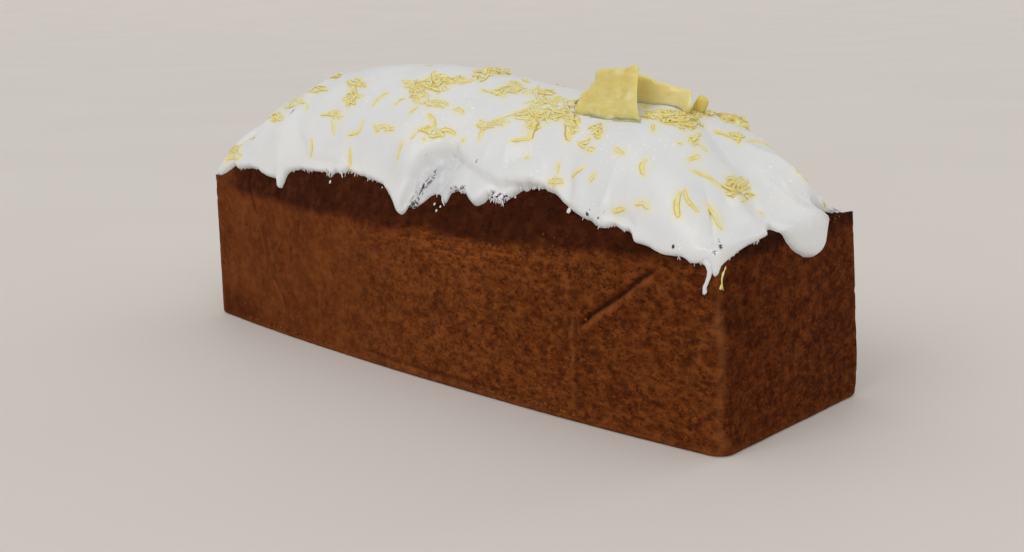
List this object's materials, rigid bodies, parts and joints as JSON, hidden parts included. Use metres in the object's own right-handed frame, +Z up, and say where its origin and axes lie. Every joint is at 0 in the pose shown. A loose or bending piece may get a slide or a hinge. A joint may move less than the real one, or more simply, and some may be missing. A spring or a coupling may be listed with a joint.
{
  "type": "lemon drizzle loaf cake",
  "caption": "Uncut lemon drizzle loaf cake: a browned tin loaf with a risen top under thick white icing that drips down its sides, topped with citrus zest and candied fruit.",
  "frame": {"origin": "middle of the whole cake's bounding box at the base that the loaf rests on", "axes": "+X along the loaf towards the end with the candied fruit, +Y across it towards the back, +Z up"},
  "size_m": [0.304, 0.103, 0.1222],
  "materials": {
    "crust": "dry browned cake crust, matte and finely pitted",
    "icing": "smooth wet white icing",
    "candied_fruit": "translucent, wet and sugary"
  },
  "bodies": {
    "root": {"loaf": "crust", "icing": "icing", "fruit_slab": "candied_fruit", "fruit_wedge": "candied_fruit"}
  },
  "joints": []
}
